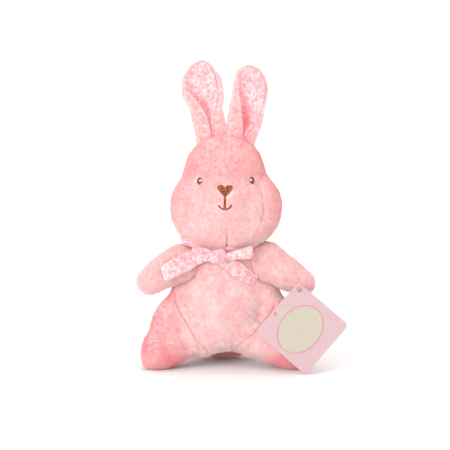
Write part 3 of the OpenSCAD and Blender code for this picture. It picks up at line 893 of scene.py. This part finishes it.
def make_ear(side):
    rows = ear_sections(side)
    turn = circle(EAR_AROUND)
    across = -np.cos(turn)
    z, left, right = rows[:, 0:1], rows[:, 1:2], rows[:, 2:3]
    x = (left + right) / 2 + across * np.maximum((right - left) / 2, 0.15)
    front = ear_front(rows, x)
    bulge = np.sqrt(np.maximum(1 - across ** 2, 0))
    thick = EAR_THICK * np.clip((z.max() - z) / 10, 0.1, 1) ** 0.5
    y = np.where(np.sin(turn) >= 0, EAR_Y - front, EAR_Y + thick * 1.15 * bulge ** 0.8)
    y = y - ear_curl(across, z)
    points = xyz(x, y, z).reshape(-1, 3)
    sway = noise(points, 8, 31) * 0.15
    lumps = noise(points, 5, 32) * 0.3 + noise(points, 1.6, 33) * 0.1
    points = points + np.stack([sway, lumps, 0 * sway], 1)
    # Thinner pile and painted shade in the fold along the opening's left edge, in the lower ear
    fold_shade = hump(x, rows[:, 3:4], 1.3) * (np.sin(turn) >= 0) * np.clip((226 - z) / 25, 0, 0.9)
    fold_shade = fold_shade * unit((z - 176) / 6)
    ear = add_piece(f"ear_{side}_plush", points, tube_faces(EAR_ROWS, EAR_AROUND), PLUSH, "plush")
    root = place([(left[EAR_ROOT_ROW, 0] + right[EAR_ROOT_ROW, 0]) / 2, EAR_Y, EAR_ROOT])
    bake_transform(ear)
    grow_pile(ear, 0.7 * fold_shade.ravel(), lie=(0, 0, 1), seed=7)
    paint_shade(ear, fold_shade.ravel())
    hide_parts(f"ear_plush_{side}")
    make_lining(side, rows)


def tube_faces(rows, around):
    """The faces of a tube of rings, closed at both ends."""
    grid = np.arange(rows * around).reshape(rows, around)
    ahead = np.roll(grid, -1, axis=1)
    quads = np.stack([grid[:-1], ahead[:-1], ahead[1:], grid[1:]], -1).reshape(-1, 4).tolist()
    return quads + [grid[0, ::-1].tolist(), grid[-1].tolist()]


def joined(shapes):
    """The points and faces of one mesh, from those of several shapes."""
    points, faces = [], []
    for shape_points, shape_faces in shapes:
        faces.extend([[len(points) + i for i in face] for face in shape_faces])
        points.extend(shape_points)
    return np.array(points), faces


def sheet_mesh(front, back):
    """A thin closed cloth between two grids of points: rows, columns, xyz."""
    shift = front[..., 0].size
    grid = np.arange(shift).reshape(front.shape[:2])
    face = np.stack([grid[:-1, :-1], grid[:-1, 1:], grid[1:, 1:], grid[1:, :-1]], -1).reshape(-1, 4)
    rim = np.concatenate([grid[0], grid[1:, -1], grid[-1, -2::-1], grid[-2:0:-1, 0]])
    ahead = np.roll(rim, -1)
    wall = np.stack([ahead, rim, rim + shift, ahead + shift], 1)
    points = np.concatenate([front.reshape(-1, 3), back.reshape(-1, 3)])
    return points, np.concatenate([face, face[:, ::-1] + shift, wall])


LINING_COLUMNS = 26
LINING_START = 179
LINING_THICK = 0.4


def make_lining(side, rows):
    rows = rows[rows[:, 0] > LINING_START][:-3]
    share = np.linspace(0, 1, LINING_COLUMNS)[None, :]
    left = np.maximum(rows[:, 3:4] - 0.9, rows[:, 1:2] + 1)
    right = np.minimum(rows[:, 4:5] + 0.7, rows[:, 2:3] - 1)
    x = left + (right - left) * share
    z = np.broadcast_to(rows[:, 0:1], x.shape)
    outer = (x - (rows[:, 1:2] + rows[:, 2:3]) / 2) / np.maximum((rows[:, 2:3] - rows[:, 1:2]) / 2, 0.1)
    y = EAR_Y - ear_front(rows, x) - ear_curl(outer, z) - 0.75
    flat = xyz(x, y, z)
    folds = 0.35 * noise(flat * [1, 1, 0.35], 5, 41)
    front = xyz(x, y - 0.35 + folds, z)
    points, faces = sheet_mesh(front, front + [0, LINING_THICK, 0])
    lining = add_piece(f"ear_{side}_lining", points, faces, PRINT, "printed_cotton")
    # Painted shade on the lining's lower left, beside the plush fold
    low = unit((222 - z) / 30)
    sunk = unit(1.1 - share / (0.18 + 0.5 * low)) * low
    paint_shade(lining, np.tile(sunk.ravel(), 2))
    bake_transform(lining)
    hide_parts(f"ear_lining_{side}")


# ---- embroidery

STITCH_RINGS = 7
STITCH_AROUND = 6


def stitches(name, lines, radius, lift, material, slot):
    """Threads laid on the face: each line is two ends in (x, z), and arches up by lift."""
    t = np.linspace(0, 1, STITCH_RINGS)
    swell = 0.45 + 0.55 * np.sin(np.pi * np.clip(t, 0.04, 0.96)) ** 0.5
    angle = circle(STITCH_AROUND)[:, None]
    tube = tube_faces(STITCH_RINGS, STITCH_AROUND)
    threads = []
    for a, b in lines:
        a, b = np.array(a, float), np.array(b, float)
        run = a + (b - a) * t[:, None]
        y = front_of(HEAD, run[:, 0], run[:, 1]) - 0.25 - lift * np.sin(np.pi * t)
        along = np.array([b[0] - a[0], 0, b[1] - a[1]]) / max(np.linalg.norm(b - a), 1e-6)
        wide = np.cross(along, [0, 1, 0])
        ring = np.cos(angle) * wide + np.sin(angle) * np.array([0, 1.0, 0])
        centre = xyz(run[:, 0], y, run[:, 1])
        rings = centre[:, None] + ring * (radius * swell)[:, None, None]
        threads.append((rings.reshape(-1, 3), tube))
    piece = add_piece(name, *joined(threads), material, slot)
    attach(piece, "head")
    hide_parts(name.replace("_stitches", ""))


EYE_HALF = (1.55, 2.65)
EYE_TILT = math.radians(9)


def make_eyes():
    for side, sign in SIDES.items():
        x, z = EYES[side]
        tilt = -sign * EYE_TILT
        up = np.array([math.sin(tilt), math.cos(tilt)])
        out = np.array([up[1], -up[0]])
        centre = np.array([x, z])
        lines = []
        for u in np.linspace(-0.93, 0.93, 9):
            reach = EYE_HALF[1] * math.sqrt(1 - u * u) + 0.15
            mid = centre + out * u * EYE_HALF[0]
            lines.append((mid - up * reach, mid + up * reach))
        stitches(f"eye_{side}_stitches", lines, 0.34, 0.45, EYE_THREAD, "thread")
        spot = centre + np.array([-sign * 0.85, 0.45])
        glint = [(spot + [u, -0.95 * math.sqrt(1 - u * u)], spot + [u, 0.95 * math.sqrt(1 - u * u)])
                 for u in (-0.66, -0.22, 0.22, 0.66)]
        stitches(f"eye_glint_{side}_stitches", glint, 0.3, 1.0, GLINT, "white_thread")


def heart_span(u):
    """The bottom and top of a heart, in halves of its height, at u from -1 to 1."""
    v = abs(u)
    top = 0.45 + 0.55 * math.sqrt(max(0, 1 - ((v - 0.53) / 0.49) ** 2))
    return -1 + 1.25 * v ** 1.7, top


def make_nose():
    lines = []
    for u in np.linspace(-0.97, 0.97, 27):
        low, high = heart_span(u)
        x = NOSE_CENTRE[0] + u * NOSE_HALF[0]
        slant = 0.5 * (1 if u > 0 else -1)
        lines.append(((x - slant, NOSE_CENTRE[1] + low * NOSE_HALF[1]),
                      (x, NOSE_CENTRE[1] + high * NOSE_HALF[1])))
    stitches("nose_stitches", lines, 0.32, 0.7, THREAD, "thread")


def make_mouth():
    lines = []
    top, bottom = np.array(STEM[0]), np.array(STEM[1])
    for t in np.linspace(0, 1, 30):
        x, z = top + (bottom - top) * t
        lines.append(((x - 0.9, z - 0.3), (x + 0.9, z + 0.3)))
    curve = smooth_line(SMILE, 27)
    run = np.gradient(curve, axis=0)
    run /= lengths(run)[:, None]
    for point, along in zip(curve, run):
        side = np.array([-along[1], along[0]]) * 0.75 + along * 0.3
        lines.append((point - side, point + side))
    stitches("mouth_stitches", lines, 0.26, 0.3, THREAD, "thread")


# ---- ribbon

def cloth_front(x, z):
    """The front of the body and arms together at (x, z)."""
    y = front_of(BODY, x, z)
    for field in ARMS.values():
        y = np.minimum(y, front_of(field, x, z))
    return y


STRIP_ROWS = 44
STRIP_COLUMNS = 14
RIBBON_THICK = 0.5


def strip(side, top, bottom, lift, wave, seed):
    """A bow tail lying on the toy between two edges, each a list of (x, z) keys."""
    upper, lower = smooth_line(top, STRIP_ROWS), smooth_line(bottom, STRIP_ROWS)
    share = np.linspace(0, 1, STRIP_COLUMNS)[None, :, None]
    xz = upper[:, None] + (lower - upper)[:, None] * share
    base = smoothed(cloth_front(xz[..., 0], xz[..., 1]), 4)
    along = np.linspace(0, 1, STRIP_ROWS)[:, None]
    cross = np.linspace(-1, 1, STRIP_COLUMNS)[None, :]
    ripple = wave * noise(xyz(xz[..., 0], 0, xz[..., 1]), 7, seed)
    curl = 0.5 * np.sin(along * 9 + cross * 1.2) * wave
    start_lift = np.interp(along, [0, 0.25, 1], [lift[0], (lift[0] + lift[1]) / 2, lift[1]])
    y = base - start_lift - 0.5 * wave - ripple - curl
    front = xyz(xz[..., 0], y, xz[..., 1])
    points, faces = sheet_mesh(front, front + [0, RIBBON_THICK, 0])
    piece = add_piece(f"ribbon_tail_{side}_cloth", points, faces, PRINT_OPEN, "printed_cotton")
    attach(piece, f"bow_tail_{side}")
    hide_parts(f"ribbon_tail_{side}")


def smoothed(values, rounds):
    """A grid of values, each evened out with its neighbours."""
    for _ in range(rounds):
        padded = np.pad(values, 1, mode="edge")
        values = (padded[:-2, 1:-1] + padded[2:, 1:-1] + padded[1:-1, :-2] + padded[1:-1, 2:]
                  + 4 * values) / 8
    return values


def make_tails():
    strip("left", lift=(2.6, 1.3), wave=0.5, seed=51,
          top=[(-0.5, 88), (8.2, 85.9), (13.9, 82.2), (21.2, 75.5), (25.9, 71.6)],
          bottom=[(-6, 84), (-1.5, 79.5), (8.2, 71.8), (16.5, 67.2), (22.5, 65.2)])
    strip("right", lift=(3.0, 7.0), wave=0.6, seed=52,
          top=[(-12, 95.5), (-20, 95.2), (-28, 92.8), (-41.6, 86.2), (-50, 80.5)],
          bottom=[(-11, 86), (-16, 84), (-27, 77.7), (-38, 72.6), (-46.4, 69.4)])


BAND_STEPS = 150
BAND_COLUMNS = 12
BAND_HEIGHT = 97.8
BAND_HALF = 5.6
BAND_RADII = (29, 27.0)
BAND_FLARE = 0.016
BAND_CORNER = math.radians(298)
BAND_TUCK = math.radians(287)


def make_neckband():
    """A gathered band round the neck. It juts at a corner on the right, and narrows behind it."""
    a = circle(BAND_STEPS)[:, None]
    v = np.linspace(-1, 1, BAND_COLUMNS)[None, :]
    forward = np.maximum(np.cos(a), 0) ** 2
    corner = hump(a, BAND_CORNER, 0.22)
    tucked = hump(a, BAND_TUCK, 0.3)
    half = BAND_HALF - 1.8 * forward - 2.6 * tucked - 0.5 * corner
    z = BAND_HEIGHT - 4.6 * forward + 1.8 * np.sin(a) ** 2 - 1.1 * tucked + 1.8 * corner + v * half
    reach = 1 + BAND_FLARE * v * half
    x = (BAND_RADII[0] * reach + 8.7 * corner) * np.sin(a)
    y = -BAND_RADII[1] * reach * np.cos(a) - 0.5
    flat = xyz(x, y, z)
    gathers = 0.9 * noise(flat, 6, 61)
    folds = 0.8 * np.sin(v * 4.2 + 2.2 * np.sin(a * 2)) + gathers
    radial = xyz(np.sin(a), -np.cos(a), 0)
    front = flat + radial * folds[..., None]
    front = np.concatenate([front, front[:1]])[:, ::-1]
    radial = np.concatenate([radial, radial[:1]])
    points, faces = sheet_mesh(front, front - radial * RIBBON_THICK)
    band = add_piece("ribbon_neckband_cloth", points, faces, PRINT, "printed_cotton")
    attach(band, "body")
    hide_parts("ribbon_neckband")


CUSHION_ROWS = 40
CUSHION_AROUND = 72
POLE = np.pi / 2 * 0.985


def cushion(node, centre, half, creases, squareness, seed, taper, tilt):
    """A pinched pad of ribbon whose creases run across it: (height, depth, width, end)."""
    lat = np.linspace(-POLE, POLE, CUSHION_ROWS)[:, None]
    turn = circle(CUSHION_AROUND)[None, :]

    def power(v):
        return np.sign(v) * np.abs(v) ** (2 / squareness)
    x = half[0] * power(np.cos(lat)) * power(np.cos(turn))
    y = half[1] * np.cos(lat) ** 0.8 * np.sin(turn)
    z = half[2] * power(np.sin(lat)) + 0 * x
    facing = unit(-np.sin(turn))
    for height, depth, width, end in creases:
        reach = unit((end - x / half[0]) * 3)
        y = y + depth * facing * hump(z, height, width) * reach
    z = z * (1 + taper * (x / half[0] - 1) / 2) + tilt * x
    points = xyz(x, y, z).reshape(-1, 3)
    puckers = 0.45 * noise(points, 4, seed)
    points = points + np.stack([0 * puckers, puckers, 0.2 * noise(points, 5, seed + 1)], 1)
    points = points + np.array(centre, float)
    faces = tube_faces(CUSHION_ROWS, CUSHION_AROUND)
    piece = add_piece(f"{node}_cloth", points, faces, PRINT, "printed_cotton")
    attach(piece, "body")
    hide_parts(node)


def make_bow():
    cushion("ribbon_knot", centre=(-6, -33.2, 89.8), half=(7.2, 4.4, 6.3),
            creases=[(1.5, 1.4, 1.0, 1.2), (-2.6, 1.0, 0.9, 1.2)],
            squareness=2.6, seed=70, taper=0.25, tilt=0.15)
    cushion("ribbon_loop_left", centre=(10.8, -32, 91.2), half=(11, 3.0, 5.4),
            creases=[(0.4, 4.6, 0.8, 0.75), (-2.9, 1.0, 0.7, 0.2)],
            squareness=7, seed=74, taper=0.5, tilt=0.17)
    cushion("ribbon_loop_right", centre=(-17.5, -31, 91), half=(8, 2.4, 4.8),
            creases=[(0.8, 1.8, 0.8, 1.2), (-2.2, 1.2, 0.7, 1.2)],
            squareness=4, seed=78, taper=-0.3, tilt=-0.12)


# ---- tail and tag

def make_fluff():
    low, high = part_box("fluffy_tail")
    centre = local(middle_of("fluffy_tail"))
    radius = (high.x - low.x) / 2 / MM
    field = stuffing([(centre, np.full(3, radius - 0.8), np.eye(3))], 2)
    p, faces, _ = skin(field, centre - radius - 4, centre + radius + 4, 0.8)
    n = (p - centre) / lengths(p - centre)[:, None]
    tufts = 0.9 * noise(p, 3.2, 81) + 0.5 * noise(p, 1.7, 82)
    fluff = add_piece("fluffy_tail_pile", p + n * tufts[:, None], faces, PLUSH, "plush")
    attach(fluff, "body")
    grow_pile(fluff, seed=9)
    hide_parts("fluffy_tail")


TAG_TURN = math.radians(4)


def tag_plane():
    """The middle of the tag's front, and its directions: up-right edge, down-right edge, forward."""
    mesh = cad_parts["hang_tag"].data
    face = max((p for p in mesh.polygons if p.normal.y < 0), key=lambda p: p.area)
    forward = np.array(face.normal)
    corner = np.array(mesh.vertices[face.vertices[0]].co)
    centre = middle_of("hang_tag")
    centre = centre + forward * ((corner - centre) @ forward)
    level = np.array([1.0, 0, 0])
    rise = np.cross(level, forward)
    rise = rise if rise[2] > 0 else -rise
    right = level * math.cos(TAG_TURN) + rise * math.sin(TAG_TURN)
    up = rise * math.cos(TAG_TURN) - level * math.sin(TAG_TURN)
    return local(centre), (right + up) / math.sqrt(2), (right - up) / math.sqrt(2), forward


TAG = tag_plane()
PRINT_CLEAR = 0.01
PRINT_RAISE = 0.06
LAYER = 0.012


def plate(outline, hole, height):
    """A thin printed shape on the tag: outline and hole are in the tag's own two directions."""
    centre, long_way, short_way, forward = TAG
    n = len(outline)
    edges = [(i, (i + 1) % n) for i in range(n)]

    def lay(ring, raised):
        return centre + ring[:, :1] * long_way + ring[:, 1:] * short_way + forward * raised
    if hole is None:
        points = np.concatenate([lay(outline, PRINT_CLEAR), lay(outline, height)])
        caps = [list(range(n)), list(range(n, 2 * n))[::-1]]
        return points, caps + [[i, n + i, n + j, j] for i, j in edges]
    points = np.concatenate([lay(ring, up) for up in (PRINT_CLEAR, height) for ring in (outline, hole)])
    faces = [face for i, j in edges for face in (
        [i, j, n + j, n + i], [2 * n + i, 3 * n + i, 3 * n + j, 2 * n + j],
        [i, 2 * n + i, 2 * n + j, j], [n + i, n + j, 3 * n + j, 3 * n + i])]
    return points, faces


def oval(middle, half, count=64, turn=0.0):
    """The outline of an oval in the tag's own two directions."""
    a = circle(count)
    x, y = half[0] * np.cos(a), half[1] * np.sin(a)
    c, s = math.cos(turn), math.sin(turn)
    return np.stack([middle[0] + x * c - y * s, middle[1] + x * s + y * c], 1)


def printed(name, shapes, material):
    """One colour of the tag's print: its shapes, each an outline, a hole or None, and a height."""
    piece = add_piece(name, *joined([plate(*shape) for shape in shapes]), material, "card")
    piece.data.polygons.foreach_set("use_smooth", [False] * len(piece.data.polygons))
    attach(piece, "tag")


OVAL_AT = (-1.5, -0.5)
OVAL_HALF = np.array([20.0, 15.6])
LINE_OUT = 0.35
LINE_IN = 0.2
LINE_LAYERS = 14
# Each sprig's two ends and its number of leaves, and each berry's middle and radius
SPRIGS = [((-2.8, -21.4), (7.2, -18.2), 9), ((-3.4, -20), (-1.4, -17.6), 3),
          ((12.6, 13.4), (19, 10), 7), ((-22.4, -0.8), (-22.6, 7), 6)]
BERRIES = [((-4.9, -22.9), 1.3), ((20.4, 8.4), 0.5), ((20.2, 11.9), 0.5), ((-23.8, 8.6), 0.45)]


def sprig(start, end, count):
    """Leaves in pairs along a stem, each a little above the one before, so none share a face."""
    start, end = np.array(start, float), np.array(end, float)
    run = (end - start) / np.linalg.norm(end - start)
    side = np.array([-run[1], run[0]])
    shapes = []
    for k in range(count):
        share = k / (count - 1)
        hand = 1 if k % 2 else -1
        size = 1.35 - 0.55 * share
        at = start + (end - start) * share + side * hand * 0.75 * size
        lean = math.atan2(run[1], run[0]) + hand * 0.85
        shapes.append((oval(at, (size, 0.62 * size), 16, lean), None, PRINT_RAISE + LAYER * (k + 1)))
    return shapes


def make_tag_print():
    printed("tag_oval_print", [(oval(OVAL_AT, OVAL_HALF), None, PRINT_RAISE)], CREAM)
    leaves = [shape for start, end, count in SPRIGS for shape in sprig(start, end, count)]
    printed("tag_sprig_print", leaves, LEAF)
    above = PRINT_RAISE + LAYER * LINE_LAYERS
    line = (oval(OVAL_AT, OVAL_HALF + LINE_OUT), oval(OVAL_AT, OVAL_HALF - LINE_IN), above)
    berries = [(oval(at, (radius, radius), 20), None, above) for at, radius in BERRIES]
    printed("tag_line_print", [line] + berries, CORAL)


def dress_cad_nodes():
    """Materials for the CAD nodes that stay in sight."""
    for node, material in (("hang_tag", CARD), ("tag_fastener", WIRE), ("neck_ball", FIBRE)):
        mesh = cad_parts[node].data
        mesh.materials.clear()
        mesh.materials.append(material)


# ---- stage

def area_light(name, place_at, size, power, aim=(0, 0, 0.1)):
    data = bpy.data.lights.new(name, "AREA")
    data.shape = "DISK"
    data.size = size
    data.energy = power
    light = added(data)
    light.location = place_at
    light.rotation_euler = (Vector(aim) - light.location).to_track_quat("-Z", "Y").to_euler()


FLOOR_FRONT = -2.5
FLOOR_BACK = 1.2
FLOOR_CURVE = 0.6
FLOOR_TOP = 3.2
FLOOR_HALF = 4


def make_floor():
    """A sheet of pale paper that curves up at the back."""
    m = Nodes("pale_paper", Roughness=0.9, Specular_IOR_Level=0.1)
    paper = m.colour(m.ramp(m.noise(4, 3), [(0.3, "#FBFBFB"), (0.7, "#FFFFFF")]))
    profile = [(FLOOR_FRONT, 0.0), (FLOOR_BACK, 0.0)]
    profile += [(FLOOR_BACK + FLOOR_CURVE * math.sin(a), FLOOR_CURVE - FLOOR_CURVE * math.cos(a))
                for a in np.linspace(0.1, 1.5, 14)]
    profile += [(FLOOR_BACK + FLOOR_CURVE, FLOOR_TOP)]
    points = np.array([(x, y, z) for y, z in profile for x in (-FLOOR_HALF, FLOOR_HALF)])
    faces = [(2 * i, 2 * i + 1, 2 * i + 3, 2 * i + 2) for i in range(len(profile) - 1)]
    added(smooth_mesh("floor", points, faces, paper))


def light_studio():
    world = bpy.data.worlds.new("studio")
    world.use_nodes = True
    sky = world.node_tree.nodes["Background"].inputs
    sky["Color"].default_value = (1, 1, 1, 1)
    sky["Strength"].default_value = 0.82
    bpy.context.scene.world = world
    area_light("key", (-1.0, -1.4, 0.7), 0.9, 12)
    area_light("fill", (-0.2, -1.7, 0.15), 1.1, 8.5)
    area_light("backdrop", (0, 0.5, 1.7), 1.4, 10, aim=(0, 1.75, 0.3))
    bpy.context.scene.view_settings.view_transform = "Standard"


make_head()
make_body()
for limb_side, limb_sign in SIDES.items():
    make_arm(limb_side, limb_sign)
    make_ear(limb_side)
make_eyes()
make_nose()
make_mouth()
make_neckband()
make_bow()
make_tails()
make_fluff()
make_tag_print()
dress_cad_nodes()
make_floor()
light_studio()
